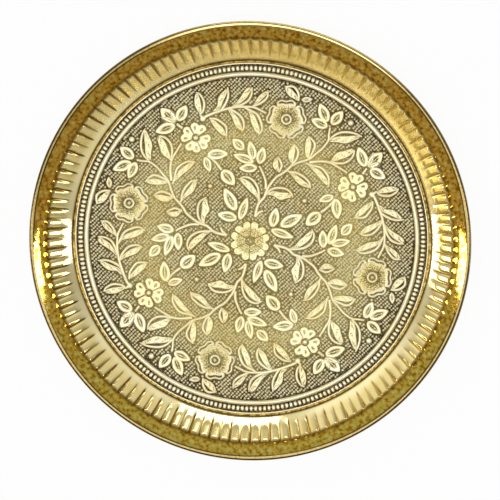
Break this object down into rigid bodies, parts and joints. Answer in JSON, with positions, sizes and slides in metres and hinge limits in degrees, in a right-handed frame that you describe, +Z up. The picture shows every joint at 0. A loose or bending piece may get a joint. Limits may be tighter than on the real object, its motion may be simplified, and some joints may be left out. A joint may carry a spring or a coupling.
{
  "type": "pooja plate",
  "caption": "Shallow round brass offering plate with a ribbed wall, flared rolled rim and an antique floral floor medallion inside beaded and plain borders.",
  "frame": {"origin": "centre of the underside of the floor, on the surface that the plate rests on", "axes": "+Z up along the axis of the plate; +X to the right and +Y to the top of the picture"},
  "size_m": [0.28, 0.28, 0.016],
  "materials": {
    "polished_brass": "polished, slightly hammered on the flange",
    "antique_brass": "antique satin, dark in the hollows and pale on the relief",
    "wire_brass": "drawn wire",
    "soft_solder": "dull solder"
  },
  "bodies": {
    "root": {"pan": "polished_brass", "rim_wire": "wire_brass", "solder_ring": "soft_solder", "medallion": "antique_brass", "bead_border": "antique_brass", "plain_border": "antique_brass"}
  },
  "joints": []
}
